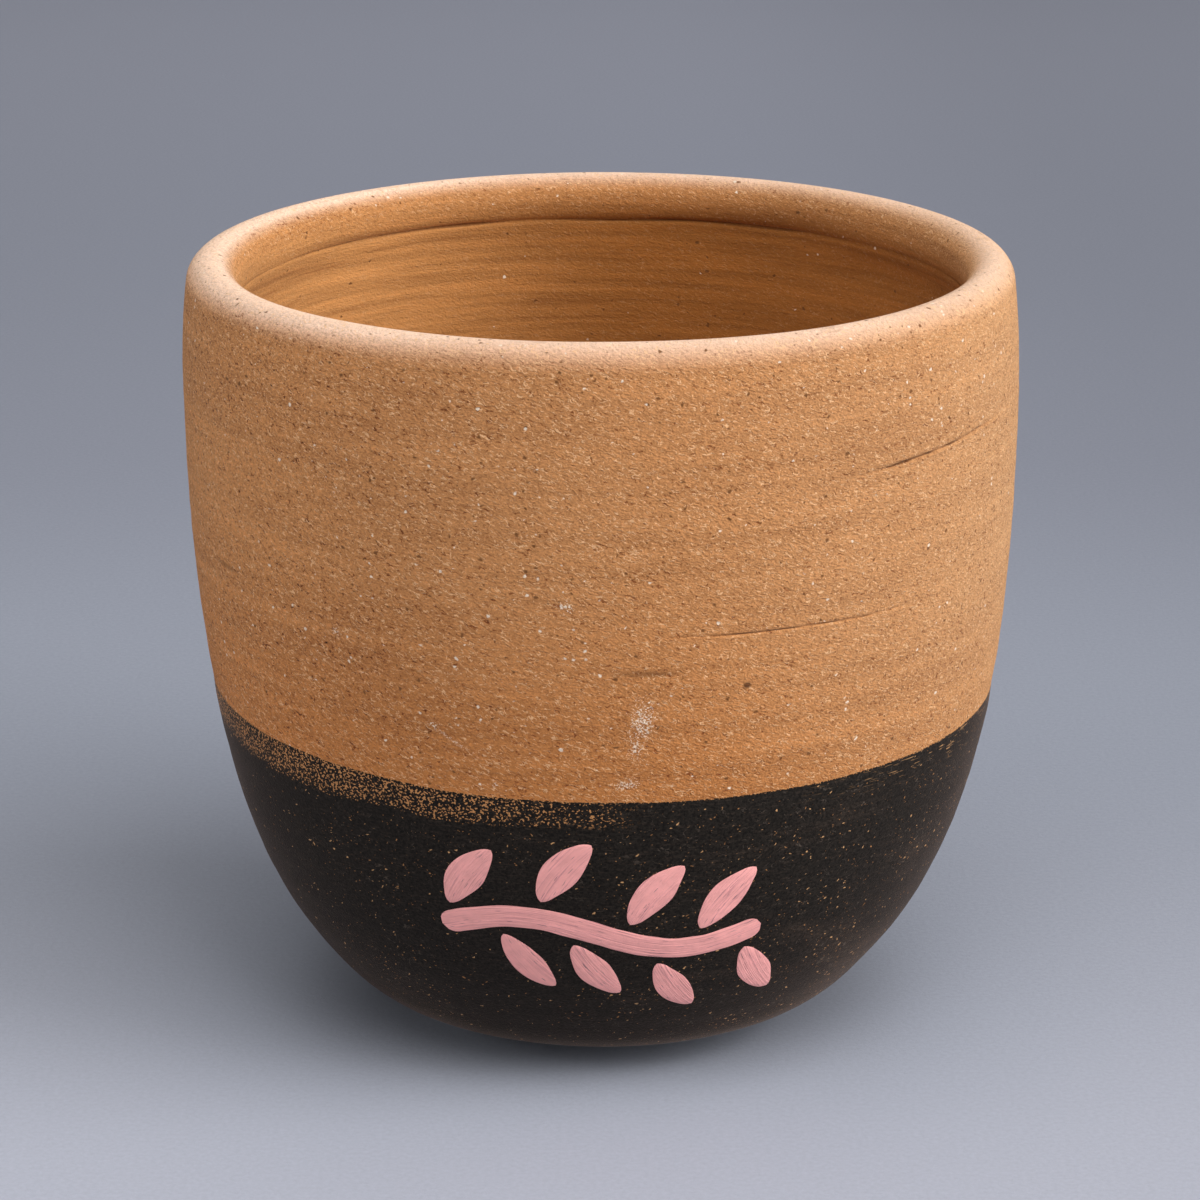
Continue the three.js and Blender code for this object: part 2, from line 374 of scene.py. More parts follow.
class StudioSettings(bpy.types.PropertyGroup):
    """Floor, lamps and camera."""

    # The floor's tones paint the fall of the lamps' light over it
    floor: tint("Floor", "Plain pale floor", (0.410, 0.426, 0.496))
    floor_middle: tint("Middle Floor", "The floor beside the cup", (0.309, 0.330, 0.391))
    floor_back: tint("Back Floor", "The floor behind the cup", (0.264, 0.278, 0.334))
    floor_far: tint("Far Floor", "The floor far behind the cup", (0.315, 0.328, 0.393))
    ambient: level("Ambient", "Strength of the even light all round", 0.03)
    key: level("Key", "Power of the large lamp low at the right", 17.2)
    high: level("High", "Power of the large lamp high at the right", 5.7)
    front: level("Front", "Power of the large lamp high in front", 7.0)
    fill: level("Fill", "Power of the large lamp low at the left", 7.1)
    back: level("Back", "Power of the large lamp behind", 2.0)
    top: level("Top", "Power of the large lamp above", 3.2)
    lens: level("Lens", "Focal length in millimetres, for a frame 36 mm wide", 133.25)
    camera_distance: length("Camera Distance", "From the cup's axis to the camera", 464.8 * MM)
    camera_height: length("Camera Height", "From the table to the camera", 187.8 * MM)
    camera_aside: length("Camera Aside", "How far the camera stands left of the cup's axis", 0.16 * MM)
    camera_pitch: slope("Camera Pitch", "How far the camera looks down", 16.98)


# The cup's surface


def reach(start, distance, angle):
    """The point at a distance from another, at an angle above the horizontal."""
    return start + distance * Vector((math.cos(angle), math.sin(angle)))


def sweep(start, start_angle, end, end_angle, fullness):
    """Points on a curve that leaves one point and arrives at another in the given directions."""
    span = (end - start).length
    start_handle = reach(start, span * fullness[0], start_angle)
    end_handle = reach(end, -span * fullness[1], end_angle)
    return curve(start, start_handle, end_handle, end)


def curve(start, start_handle, end_handle, end):
    """Points on a cubic curve between two flat points, each with its handle."""
    corners = [point.to_3d() for point in (start, start_handle, end_handle, end)]
    return [point.to_2d() for point in interpolate_bezier(*corners, SECTION_STEPS)]


def smoothstep(low, high, value):
    """0 up to low, 1 from high on, and smooth in between. It falls where low is above high."""
    share = np.clip((value - low) / (high - low), 0, 1)
    return share * share * (3 - 2 * share)


def wander(points, size, seed):
    """Smooth noise from -1 to 1 at each point, with features of about the given size."""
    scaled = points / np.asarray(size) + SEED_STEP * seed
    return np.fromiter((noise.noise(point) for point in scaled.tolist()), float, len(scaled))


def rings(points, layers):
    """Noise in flat rings, from layers of share, size and seed."""
    return sum(share * wander(points, size, seed) for share, size, seed in layers)


class CupSurface:
    """The cup's whole surface by angle round from the front and travel along the section.

    Travel is the distance along the half section from the foot's edge: up the outside, over the rim, down
    the inside and to the middle of the inner floor. On the underside it is negative.
    """

    def __init__(self, sizes, paint):
        self.sizes = sizes
        self.paint = paint
        quarter_turn = math.pi / 2
        roll = sizes.rim_thickness / 2
        belly_height = sizes.height - sizes.belly_drop
        centre = Vector((sizes.belly_radius - sizes.rim_inset - roll, sizes.height - roll))
        turn = Vector((sizes.belly_radius - sizes.turn_inset, sizes.turn_height))
        rim_start = 2 * math.atan2(sizes.rim_inset, centre.y - belly_height)
        angles = np.linspace(rim_start, math.pi + sizes.rim_tuck, SECTION_STEPS)
        rim = [reach(centre, roll, angle) for angle in angles]

        def side(bottom, flare, turn, belly, top):
            middle = Vector((belly.x, (belly.y + top.y) / 2))
            handles = (belly.lerp(middle, ROUND_FULLNESS[0]), top.lerp(middle, ROUND_FULLNESS[1]))
            return (
                sweep(bottom, flare, turn, quarter_turn - sizes.turn_lean, BOWL_FULLNESS)
                + sweep(turn, quarter_turn - sizes.turn_lean, belly, quarter_turn, WALL_FULLNESS)
                + curve(belly, *handles, top)
            )

        outside = side(
            Vector((sizes.foot_radius, 0)),
            sizes.foot_flare,
            turn,
            Vector((sizes.belly_radius, belly_height)),
            rim[0],
        )
        inside = side(
            Vector((sizes.floor_radius, sizes.floor)),
            sizes.floor_flare,
            reach(turn, -sizes.wall, -sizes.turn_lean),
            Vector((sizes.belly_radius - sizes.wall, belly_height)),
            rim[-1],
        )[::-1]
        stretches = [[Vector((0, 0))], outside, rim, inside, [Vector((0, sizes.floor))]]
        points = np.array([point for stretch in stretches for point in stretch])
        kept = np.append(True, np.linalg.norm(np.diff(points, axis=0), axis=1) > MERGE_DISTANCE / 10)
        points = points[kept]
        steps = np.linalg.norm(np.diff(points, axis=0), axis=1)
        self.points = points
        self.travel = np.append(0, np.cumsum(steps)) - sizes.foot_radius
        tangent = np.gradient(points, axis=0)
        tangent /= np.linalg.norm(tangent, axis=1)[:, None]
        self.normals = np.stack((tangent[:, 1], -tangent[:, 0]), 1)
        self.rim_start = self.travel_of(rim[0])
        self.rim_end = self.travel_of(rim[-1])
        self.crest = self.travel_of(reach(centre, roll, quarter_turn))
        self.floor_start = self.travel_of(inside[-1])
        self.paint_line = self.travel_at_height(paint.paint_line)

    def travel_of(self, point):
        """The travel of the section's point nearest to this one."""
        return self.travel[np.argmin(np.linalg.norm(self.points - np.array(point), axis=1))]

    def travel_at_height(self, height):
        """The travel at which the outside reaches a height."""
        outside = (self.travel >= 0) & (self.travel <= self.rim_start)
        return np.interp(height, self.points[outside, 1], self.travel[outside])

    def rows(self):
        """The travel of each row of the mesh, from the middle of the foot to that of the inner floor."""
        stretches = [
            (-self.sizes.foot_radius, 0, ROW_UNDERSIDE),
            (0, self.paint.coat_start, ROW_FOOT),
            (self.paint.coat_start, self.paint_line, ROW_BOWL),
        ]
        start = self.paint_line
        for band in MARK_BANDS:
            low, high = (self.travel_at_height(height * MM) for height in band)
            stretches += [(start, low, ROW_WALL), (low, high, ROW_MARK)]
            start = high
        stretches += [
            (start, self.rim_start, ROW_WALL),
            (self.rim_start, self.rim_end, ROW_RIM),
            (self.rim_end, self.rim_end + TUCK_REACH, ROW_TUCK),
            (self.rim_end + TUCK_REACH, self.floor_start, ROW_INSIDE),
            (self.floor_start, self.travel[-1], ROW_UNDERSIDE),
        ]
        found = [np.array([-self.sizes.foot_radius])]
        for low, high, row in stretches:
            found.append(np.linspace(low, high, math.ceil((high - low) / row) + 1)[1:])
        return np.concatenate(found)

    def section(self, travel):
        """Radius and height at each travel, and the direction out of the wall as a radius and a height."""
        columns = (*self.points.T, *self.normals.T)
        return [np.interp(travel, self.travel, column) for column in columns]

    def inside(self, travel):
        """0 outside the cup, 1 inside it, with the change on the roll's inner side."""
        return smoothstep(self.crest + INSIDE_START, self.rim_end + INSIDE_FULL, travel)

    def dust(self, travel):
        """1 on the crest of the rim, where dry dust and a painted highlight lie, and 0 away from it."""
        rise = smoothstep(self.rim_start - DUST_START, self.crest - DUST_FULL, travel)
        return rise * (1 - smoothstep(self.crest + DUST_FULL, self.crest + DUST_END, travel))

    def line_shift(self, angle):
        """How far the hand-painted line strays from its level."""
        around = np.stack((np.sin(angle), np.cos(angle), np.zeros_like(angle)), 1)
        sway = self.paint.line_sway * (wander(around, LINE_WANDER, seed=5) * 0.25 - np.sin(angle))
        return sway + self.paint.line_rise * np.sin(angle) ** 2

    def follow_line(self, angle, travel):
        """Rows near the paint line bent to follow it."""
        near = 1 - smoothstep(0, LINE_REACH, np.abs(travel - self.paint_line))
        return travel + near * self.line_shift(angle)

    def marks(self, angle, height):
        """Depth of the throwing marks in the outer wall, below 0 on a raised lip, and their painted shade,
        which deepens with their depth.
        """
        depth = np.zeros_like(angle)
        dark = np.zeros_like(angle)
        degrees = np.degrees(angle)
        wall = np.stack((degrees, height / MM, np.zeros_like(angle)), 1)
        sway = MARK_SWAY * wander(wall, SWAY_SIZE, seed=9)
        ragged = 0.85 + 0.4 * wander(wall, RAGGED_SIZE, seed=3)
        for mark in MARKS:
            (from_angle, from_height), (to_angle, to_height) = mark.start, mark.end
            run = (degrees - from_angle + 180) % 360 - 180
            share = run / (to_angle - from_angle)
            fade = smoothstep(0, MARK_GROWN, share) * smoothstep(1, MARK_FADES, share)
            middle = from_height + np.clip(share, 0, 1) * (to_height - from_height) + sway
            across = (height / MM - middle) / mark.width
            cut = fade * ragged * np.exp(-across * across)
            lip = fade * np.exp(-((across + LIP_PLACE) ** 2))
            depth += (mark.depth * cut - mark.lip * lip) * MM
            # Painted shade: a mark is darker the deeper it is
            dark = np.maximum(dark, cut * min(1, mark.depth / DARK_DEPTH))
        return depth, dark

    def tuck(self, angle, travel, points):
        """Shares of the ragged groove under the roll, which opens at the back, and of the fillet there."""
        open_back = smoothstep(*GROOVE_OPENS, -np.cos(angle - GROOVE_TURN))
        middle = self.rim_end + GROOVE_DROP + GROOVE_STRAY * wander(points, STRAY_SIZE, seed=8)
        groove = np.exp(-(((travel - middle) / GROOVE_WIDTH) ** 2))
        groove = groove * (0.85 + 0.5 * wander(points, GROOVE_RAGGED, seed=10)) * (0.06 + 0.94 * open_back)
        fillet = np.exp(-(((travel - self.rim_end - FILLET_DROP) / FILLET_WIDTH) ** 2))
        return groove, fillet * (1 - 0.65 * open_back)

    def relief(self, angle, travel, points):
        """How far the thrown clay stands out from the smooth section, and the painted shade of its marks
        and of the groove under the roll.
        """
        sizes = self.sizes
        height = points[:, 2]
        inside = self.inside(travel)
        low = smoothstep(*BULGE_RISE, height) * (1 - smoothstep(*BULGE_FALL, height))
        high = smoothstep(*PINCH_RISE, height) * (1 - inside)
        out = sizes.wobble * wander(points, WOBBLE_SIZE, seed=1)
        out += np.maximum(0, np.sin(angle)) * (sizes.bulge * low - sizes.pinch * high)
        out += sizes.outer_rings * (1 - inside) * rings(points, OUTER_RINGS)
        out += sizes.inner_rings * inside * rings(points, INNER_RINGS)
        depth, dark = self.marks(angle, height)
        on_wall = (travel > 0) & (travel < self.rim_start)
        groove, fillet = self.tuck(angle, travel, points)
        out += sizes.tuck_fillet * fillet - sizes.tuck_groove * groove - np.where(on_wall, depth, 0)
        # The groove under the roll gets painted shade as well
        dark = np.maximum(np.where(on_wall, dark, 0), np.clip(groove, 0, 1))
        standing = smoothstep(*FOOT_CALM, travel)
        return (out - sizes.settle) * standing, dark * standing

    def place(self, angle, travel, lift=0):
        """Points on the thrown surface, lifted off it, and the painted shade of the clay's marks there."""
        radius, height, out, up = self.section(travel)
        points = np.stack((radius * np.sin(angle), -radius * np.cos(angle), height), 1)
        normals = np.stack((out * np.sin(angle), -out * np.cos(angle), up), 1)
        relief, dark = self.relief(angle, travel, points)
        points += normals * (relief + lift)[:, None]
        from_right = points[:, 0] - self.sizes.belly_radius
        tilted = smoothstep(0, self.sizes.height, height)
        points[:, 2] += from_right * math.tan(self.sizes.rim_tilt) * tilted
        return points, dark


# Modelling


def only(piece):
    """Selects one object alone and makes it the active one."""
    bpy.ops.object.select_all(action="DESELECT")
    piece.select_set(True)
    bpy.context.view_layer.objects.active = piece


def numbers(mesh, name):
    """The values of a mesh's own attribute, one for each vertex."""
    found = np.zeros(len(mesh.vertices), np.float32)
    mesh.attributes[name].data.foreach_get("value", found)
    return found.astype(float)


def keep_numbers(mesh, name, values):
    """Writes an attribute with one value for each vertex."""
    layer = mesh.attributes.get(name) or mesh.attributes.new(name, "FLOAT", "POINT")
    layer.data.foreach_set("value", np.asarray(values, np.float32))


def vertices(mesh):
    """The places of a mesh's vertices."""
    found = np.zeros(len(mesh.vertices) * 3, np.float32)
    mesh.vertices.foreach_get("co", found)
    return found.reshape(-1, 3).astype(float)


def move_vertices(mesh, points):
    """Puts a mesh's vertices at new places."""
    mesh.vertices.foreach_set("co", np.asarray(points, np.float32).ravel())
    mesh.update()


def apply_modifier(piece, kind, **settings):
    """Adds a modifier with its settings and applies it."""
    only(piece)
    modifier = piece.modifiers.new(kind.title(), kind)
    for name, value in settings.items():
        setattr(modifier, name, value)
    bpy.ops.object.modifier_apply(modifier=modifier.name)


def start_piece(add, name, **settings):
    """A new object from one of Blender's primitives, selected alone."""
    bpy.ops.object.select_all(action="DESELECT")
    add(**settings)
    piece = bpy.context.active_object
    piece.name = piece.data.name = name
    return piece


@contextmanager
def editing(piece):
    """Edit mode on one object alone, with all of its mesh selected."""
    only(piece)
    bpy.ops.object.mode_set(mode="EDIT")
    bpy.ops.mesh.select_all(action="SELECT")
    yield
    bpy.ops.object.mode_set(mode="OBJECT")


def close_skin():
    """Merges doubled vertices and points all faces outwards."""
    bpy.ops.mesh.select_all(action="SELECT")
    bpy.ops.mesh.remove_doubles(threshold=MERGE_DISTANCE)
    bpy.ops.mesh.normals_make_consistent(inside=False)


def draw_line(name, points):
    """A new object with a line of edges, drawn from one vertex by extruding it from point to point."""
    piece = start_piece(bpy.ops.mesh.primitive_plane_add, name, size=MM, calc_uvs=False)
    with editing(piece):
        bpy.ops.mesh.merge(type="CENTER")
        bpy.ops.transform.translate(value=points[0])
        for start, end in zip(points, points[1:]):
            bpy.ops.mesh.extrude_vertices_move(TRANSFORM_OT_translate={"value": end - start})
    return piece


def spin_round(piece):
    """Turns a line about the cup's axis into a closed skin with its faces pointing outwards."""
    with editing(piece):
        bpy.ops.mesh.spin(steps=ROUND_STEPS, angle=math.tau, center=(0, 0, 0), axis=(0, 0, 1))
        close_skin()


def hand_over(piece, node, material):
    """Smooths a finished piece, gives it its material and its body, and hides the imported part of the node
    that it stands for.
    """
    only(piece)
    bpy.ops.object.shade_smooth_by_angle(angle=SMOOTH_ANGLE)
    piece.data.materials.clear()
    piece.data.materials.append(material)
    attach(piece, BODY)
    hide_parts(node)


# Materials

# Places of a colour Mix node's sockets
MIX_FACTOR, MIX_FIRST, MIX_SECOND, MIX_RESULT = 0, 6, 7, 2


class Wire:
    """A node's output in a material. An expression on wires adds the nodes that work it out."""

    def __init__(self, socket):
        self.socket = socket
        self.tree = socket.id_data

    def node(self, kind, settings, sockets, output=0):
        """Adds a node, with its settings first and then the values or wires of its sockets."""
        made = self.tree.nodes.new(kind)
        for name, value in settings.items():
            setattr(made, name, value)
        for name, value in sockets.items():
            if isinstance(value, Wire):
                self.tree.links.new(value.socket, made.inputs[name])
            else:
                made.inputs[name].default_value = value
        return Wire(made.outputs[output])

    def mix(self, operation, factor, first, second):
        """Mixes two colours."""
        settings = {"data_type": "RGBA", "blend_type": operation}
        sockets = {MIX_FACTOR: factor, MIX_FIRST: first, MIX_SECOND: second}
        return self.node("ShaderNodeMix", settings, sockets, MIX_RESULT)

    def combine(self, operation, first, second):
        """Works out an operation on two values, or on vectors or colours if one of them is one."""
        kinds = {side.socket.type for side in (first, second) if isinstance(side, Wire)}
        if "RGBA" in kinds:
            return self.mix(operation, 1.0, first, second)
        if "VECTOR" in kinds:
            first, second = (
                side if isinstance(side, (Wire, tuple)) else (side,) * 3 for side in (first, second)
            )
            return self.node("ShaderNodeVectorMath", {"operation": operation}, {0: first, 1: second})
        return self.node("ShaderNodeMath", {"operation": operation}, {0: first, 1: second})

    def __add__(self, other):
        return self.combine("ADD", self, other)

    def __radd__(self, other):
        return self.combine("ADD", other, self)

    def __sub__(self, other):
        return self.combine("SUBTRACT", self, other)

    def __rsub__(self, other):
        return self.combine("SUBTRACT", other, self)

    def __mul__(self, other):
        return self.combine("MULTIPLY", self, other)

    def __rmul__(self, other):
        return self.combine("MULTIPLY", other, self)

    def __gt__(self, other):
        return self.combine("GREATER_THAN", self, other)

    def between(self, low, high):
        """0 up to low, 1 from high on, and smooth in between. It falls where low is above high."""
        sockets = {"Value": self, "From Min": low, "From Max": high}
        return self.node("ShaderNodeMapRange", {"interpolation_type": "SMOOTHSTEP"}, sockets)

    def blend(self, first, second):
        """The first colour where this value is 0 and the second where it is 1."""
        first, second = (side if isinstance(side, Wire) else (*side, 1) for side in (first, second))
        return self.mix("MIX", self, first, second)

    def axis(self, name):
        """One coordinate of this place."""
        return self.node("ShaderNodeSeparateXYZ", {}, {"Vector": self}, name)

    def speckle(self, size, detail=2.0, roughness=0.5):
        """Noise from 0 to 1 at this place, with features of about the size in millimetres."""
        place = self * tuple(1 / side for side in size)
        sockets = {"Vector": place, "Scale": 1.0, "Detail": detail, "Roughness": roughness}
        return self.node("ShaderNodeTexNoise", {}, sockets)

    def strokes(self, size, width, gaps):
        """1 on thin curved lines that bend at about the size in millimetres, with gaps between runs."""
        middle = self.speckle(size, 1.0) - 0.5
        distance = self.node("ShaderNodeMath", {"operation": "ABSOLUTE"}, {0: middle})
        run = (self + RUNS_SHIFT).speckle(size, 1.0).between(gaps, gaps + 0.08)
        return distance.between(width, width * 0.3) * run

    def grains(self, spacing, least, most, share):
        """1 inside scattered grains, with one grain in each cell of the spacing for a share of cells."""
        place = self * tuple(1 / side for side in spacing)
        distance = self.node("ShaderNodeTexVoronoi", {}, {"Vector": place, "Scale": 1.0})
        colour = Wire(distance.socket.node.outputs["Color"])
        chance, size = (
            self.node("ShaderNodeSeparateColor", {}, {"Color": colour}, name) for name in ("Red", "Green")
        )
        radius = least + size * size * (most - least)
        inside = (radius - distance).between(0.0, least)
        return inside * (share > chance if isinstance(share, Wire) else 1 - (chance > share))


def new_material(name):
    """A material with one shader, and the object's own place in millimetres as a wire."""
    material = bpy.data.materials.new(name)
    material.use_nodes = True
    tree = material.node_tree
    tree.nodes.clear()
    output = tree.nodes.new("ShaderNodeOutputMaterial")
    shader = tree.nodes.new("ShaderNodeBsdfPrincipled")
    tree.links.new(shader.outputs["BSDF"], output.inputs["Surface"])
    place = Wire(tree.nodes.new("ShaderNodeTexCoord").outputs["Object"]) * (1 / MM)
    return material, shader, place


def attribute(place, name):
    """A number that a piece's mesh keeps at its vertices."""
    return place.node("ShaderNodeAttribute", {"attribute_name": name}, {}, "Fac")


def finish_shader(shader, colour, roughness, height, constants):
    """Joins the colour, roughness and relief in millimetres to the shader, and sets its constants."""
    tree = colour.tree
    bump = height.node("ShaderNodeBump", {}, {"Strength": 1.0, "Distance": MM, "Height": height})
    tree.links.new(colour.socket, shader.inputs["Base Color"])
    tree.links.new(roughness.socket, shader.inputs["Roughness"])
    tree.links.new(bump.socket, shader.inputs["Normal"])
    for name, value in constants.items():
        shader.inputs[name].default_value = value


def drifted(place, size, amount):
    """The place strayed by noise, so that what is drawn there loses its plain outline."""
    sockets = {"Vector": place, "Scale": 1 / size, "Detail": 1.0}
    stray = place.node("ShaderNodeTexNoise", {}, sockets, "Color")
    stray = place.node("ShaderNodeVectorMath", {"operation": "SUBTRACT"}, {0: stray, 1: (0.5,) * 3})
    return place + stray * amount


def mapped(place, **sockets):
    """The place as seen from a pattern's own middle, turn and scale."""
    return place.node("ShaderNodeMapping", {"vector_type": "TEXTURE"}, {"Vector": place, **sockets})


def turned(place, slant, stretch):
    """The place with what is drawn there slanted by degrees down to the right and stretched."""
    return mapped(place, Rotation=(0, math.radians(slant), 0), Scale=stretch)


def layered(colour, layers):
    """A colour with others laid over it in turn, each where its cover is 1."""
    for cover, over in layers:
        colour = cover.blend(colour, over)
    return colour


def build_clay_material(surface, colours):
    """Unglazed clay: sandy grain, pits, white grains, throwing streaks, smears and a pale dusty rim."""
    material, shader, place = new_material("bare_clay")
    inside = attribute(place, "inside")
    outside = 1 - inside
    dust = attribute(place, "dust")
    across, height_up = place.axis("X"), place.axis("Z")
    strayed = drifted(place, 0.5, 0.45)
    slanted = turned(strayed, 22, (0.56, 0.56, 0.22))
    ridges = slanted.speckle((1, 1, 1), 2.5, 0.62)
    sand = place.speckle((0.22, 0.22, 0.18), 2.0, 0.75)
    wisps = slanted.strokes((1.4, 1.4, 1.4), 0.045, 0.50)
    slits = (slanted + SLITS_SHIFT).strokes((1.6, 1.6, 1.6), 0.050, 0.54)
    crumbs = (slanted + CRUMBS_SHIFT).grains((1.20,) * 3, 0.10, 0.32, 0.55)
    pores = strayed.grains((1.1, 1.1, 0.9), 0.15, 0.28, 0.50 - 0.30 * inside)
    chalky = 0.40 + 0.25 * dust - 0.32 * inside
    chalk = (strayed + CHALK_SHIFT).grains((1.2, 1.2, 1.0), 0.10, 0.22, chalky)
    patches = place.speckle((30, 30, 16), 2.0)
    streaks = place.speckle((46, 46, 1.7), 4.0, 0.62)
    scratches = place.speckle((9, 9, 0.36), 3.0, 0.65)
    inner_streaks = place.speckle((22, 22, 0.80), 5.0, 0.70)

    # The tone is the clay's own mottling and streaks, with painted light and shade of its grain: lighter
    # where ridges and sand raise the bump, darker in the slits
    outer_tone_and_shade = -0.40 + 0.30 * patches + 0.50 * streaks + 1.00 * sand + 0.80 * ridges + 0.20 * scratches
    outer_tone_and_shade = outer_tone_and_shade - 0.45 * (1 - 0.8 * dust) * slits + 0.12 * wisps
    # The grain's painted shade is stronger on the shaded left, and weaker on the rim's crest
    outer_tone_and_shade = 1 + (outer_tone_and_shade - 1) * (1 + 0.4 * across.between(*SHADED_LEFT) - 0.3 * dust)
    # The inside's tone is its own mottling, with painted shade of its streaks and grain
    inner_tone_and_shade = -0.145 + 0.40 * patches + 1.30 * inner_streaks + 0.30 * sand + 0.30 * ridges
    # Painted shade: the wall's tone is darker and deeper low down, and this reaches lower on the right
    raised = height_up + LOW_RIGHT_DROP * across.between(*LOW_RIGHT)
    colour = raised.between(*LOW_WALL_SHADE).blend(colours.clay_low, colours.clay)
    # Painted light and shade: the tone warms towards the shaded left and pales towards the lit right
    for start, full, cast in PAINTED_SIDE_LIGHT:
        colour = colour * across.between(start, full).blend((1, 1, 1), cast)
    # Painted light and shade: the inside goes from its lit left to its shaded back and right
    inside_light_and_shade = across.between(*INSIDE_SHADE).blend(colours.clay_inside, colours.clay_deep)
    colour = inside.blend(colour, inside_light_and_shade)
    # The crest's dust with a painted highlight: paler on the left, less pale on the right
    rim_light_left = across.between(*RIM_LIGHT_LEFT)
    dusty = dust * (0.62 + 0.6 * patches + 0.45 * rim_light_left - 0.15 * across.between(*RIM_SHADE_RIGHT))
    colour = dusty.blend(colour, colours.clay_pale)
    tone = inside * inner_tone_and_shade + outside * outer_tone_and_shade * (1 - 0.25 * dust)
    # Painted highlight on the rim's crest, brighter on the left
    tone = tone + dust * (0.25 + 0.10 * rim_light_left)
    colour = colour * tone * tone.between(1.0, 0.2).blend((1, 1, 1), SHADE_CAST)
    # Painted shade in the throwing marks and in the groove under the roll
    furrow = (attribute(place, "dark") + (sand - 0.5) * 0.5).between(0.40, 0.75)
    layers = (
        (scratches.between(0.58, 0.74) * 0.35, colours.clay_dark),
        # Pale grains, and the painted highlight of the thin raised wisps
        ((crumbs * 0.35 + wisps * 0.75) * (1 - 0.75 * inside), colours.fleck),
        (pores * 0.95, colours.pore),
        (furrow * (0.85 - 0.3 * inside), colours.furrow),
        (chalk * 0.95, colours.chalk),
    )
    colour = layered(colour, layers)
    # Painted shade of the pit and the dent, and the other dark patches
    for dark_patch in DARK_PATCHES:
        shade = spread(surface, place, dark_patch).between(1.0, 0.3) * (0.6 + 0.8 * sand)
        colour = (shade * dark_patch.strength).blend(colour, colours.furrow)
    for smear in SMEARS:
        flecks = (sand - spread(surface, place, smear) * 0.14).between(0.44, 0.51)
        colour = (flecks * smear.strength).blend(colour, colours.chalk)

    height = ridges * 0.30 + sand * 0.13 + wisps * 0.012 - slits * 0.015 + crumbs * 0.02 - pores * 0.06
    height = height * (1 - 0.45 * inside) + inside * inner_streaks * 0.08 - furrow * 0.05
    roughness = 0.74 + 0.16 * sand
    constants = {
        "Specular IOR Level": 0.20,
        "Diffuse Roughness": 0.4,
        "Sheen Weight": 0.10,
        "Sheen Roughness": 0.4,
        "Sheen Tint": (1.0, 0.84, 0.66, 1),
    }
    finish_shader(shader, colour, roughness, height, constants)
    return material


def spread(surface, place, smear):
    """How far a place lies from the middle of a smear on the wall: 0 in its middle and 1 at its edge."""
    degrees, height = smear.place
    angle = math.radians(degrees)
    radius = surface.section(surface.travel_at_height(height * MM))[0] / MM
    local = mapped(
        place,
        Location=(radius * math.sin(angle), -radius * math.cos(angle), height),
        Rotation=(0, math.radians(smear.tilt), angle),
        Scale=(smear.length / 2, smear.length / 2, smear.width / 2),
    )
    return place.node("ShaderNodeVectorMath", {"operation": "LENGTH"}, {0: local}, "Value")


